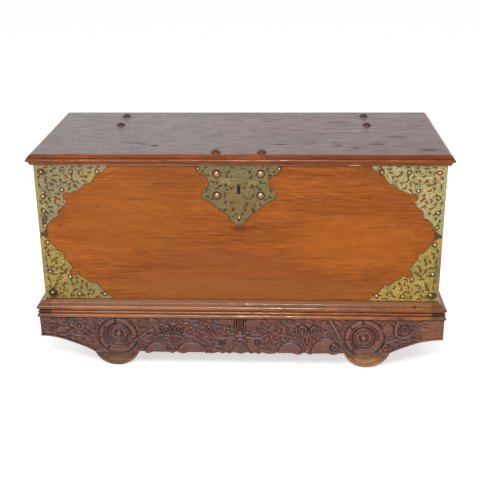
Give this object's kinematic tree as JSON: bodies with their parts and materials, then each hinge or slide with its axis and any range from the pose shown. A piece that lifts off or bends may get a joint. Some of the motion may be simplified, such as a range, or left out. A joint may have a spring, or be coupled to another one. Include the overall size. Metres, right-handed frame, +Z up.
{
  "type": "wheeled dowry chest",
  "caption": "Hardwood storage chest on wheels, with a hinged lid, pierced brass corner mounts, a shield lock plate, a moulded plinth and a carved apron.",
  "frame": {"origin": "on the ground, at the centre of the chest's footprint", "axes": "+X along the chest to its right, +Y from its front to its back, +Z up"},
  "size_m": [1.2304, 0.5523, 0.707],
  "materials": {
    "body_teak": "waxed",
    "carved_rosewood": "waxed, dark in the carving",
    "underframe_wood": "unfinished, dusty",
    "lid_wood": "polished",
    "lid_moulding_wood": "polished",
    "mount_brass": "pierced, patinated",
    "nail_brass": "polished by wear",
    "stud_copper": "dull",
    "black_iron": "forged",
    "rivet_iron": "worn",
    "handle_brass": "patinated",
    "wheel_wood": "worn"
  },
  "bodies": {
    "carcass": {"axle_straps": "black_iron", "back_board": "body_teak", "bottom_boards": "body_teak", "corner_blocks": "underframe_wood", "escutcheon": "mount_brass", "escutcheon_nails": "nail_brass", "floor_bearers": "body_teak", "front_apron": "carved_rosewood", "front_board": "body_teak", "handle_eyes": "handle_brass", "hinge_back_rivets": "black_iron", "hinge_pins": "black_iron", "key_post": "black_iron", "left_apron": "carved_rosewood", "left_axle": "underframe_wood", "left_bolster": "underframe_wood", "left_end_board": "body_teak", "left_handle_plate": "handle_brass", "left_hinge_back_strap": "black_iron", "linchpins": "black_iron", "lock_case": "black_iron", "lock_cover": "black_iron", "lock_selvedge": "black_iron", "lock_studs": "stud_copper", "lower_left_mount": "mount_brass", "lower_right_mount": "mount_brass", "mount_nails": "nail_brass", "plinth_back_rail": "body_teak", "plinth_front_rail": "body_teak", "plinth_left_rail": "body_teak", "plinth_right_rail": "body_teak", "rear_apron": "carved_rosewood", "right_apron": "carved_rosewood", "right_axle": "underframe_wood", "right_bolster": "underframe_wood", "right_end_board": "body_teak", "right_handle_plate": "handle_brass", "right_hinge_back_strap": "black_iron", "upper_left_mount": "mount_brass", "upper_right_mount": "mount_brass", "wheel_washers": "black_iron"},
    "lid": {"hinge_lid_rivets": "rivet_iron", "left_hinge_lid_strap": "black_iron", "lid_battens": "lid_wood", "lid_front_moulding": "lid_moulding_wood", "lid_front_plank": "lid_wood", "lid_left_moulding": "lid_moulding_wood", "lid_rear_plank": "lid_wood", "lid_right_moulding": "lid_moulding_wood", "right_hinge_lid_strap": "black_iron", "strike_plate": "black_iron", "strike_rivets": "rivet_iron"},
    "front_left_wheel": {"front_left_wheel": "wheel_wood"},
    "front_right_wheel": {"front_right_wheel": "wheel_wood"},
    "rear_left_wheel": {"rear_left_wheel": "wheel_wood"},
    "rear_right_wheel": {"rear_right_wheel": "wheel_wood"},
    "left_handle": {"left_bail": "handle_brass"},
    "right_handle": {"right_bail": "handle_brass"},
    "lock_bolt": {"lock_bolt": "black_iron"}
  },
  "joints": [
    {"name": "lid_hinge", "type": "hinge", "parent": "carcass", "child": "lid", "pos_m": [0, 0.2691, 0.6755], "axis": [-1, 0, 0], "range_deg": [0, 100]},
    {"name": "left_handle_swing", "type": "hinge", "parent": "carcass", "child": "left_handle", "pos_m": [-0.606, 0.0031, 0.543], "axis": [0, 1, 0], "range_deg": [-8, 90]},
    {"name": "right_handle_swing", "type": "hinge", "parent": "carcass", "child": "right_handle", "pos_m": [0.606, 0.0031, 0.543], "axis": [0, -1, 0], "range_deg": [-8, 90]},
    {"name": "lock_bolt_throw", "type": "slide", "parent": "carcass", "child": "lock_bolt", "axis": [1, 0, 0], "range_m": [0, 0.008]},
    {"name": "front_left_wheel_spin", "type": "hinge", "parent": "carcass", "child": "front_left_wheel", "pos_m": [-0.39, -0.2019, 0.075], "axis": [0, 1, 0], "continuous": true},
    {"name": "front_right_wheel_spin", "type": "hinge", "parent": "carcass", "child": "front_right_wheel", "pos_m": [0.39, -0.2019, 0.075], "axis": [0, 1, 0], "continuous": true},
    {"name": "rear_left_wheel_spin", "type": "hinge", "parent": "carcass", "child": "rear_left_wheel", "pos_m": [-0.39, 0.2081, 0.075], "axis": [0, 1, 0], "continuous": true},
    {"name": "rear_right_wheel_spin", "type": "hinge", "parent": "carcass", "child": "rear_right_wheel", "pos_m": [0.39, 0.2081, 0.075], "axis": [0, 1, 0], "continuous": true}
  ]
}
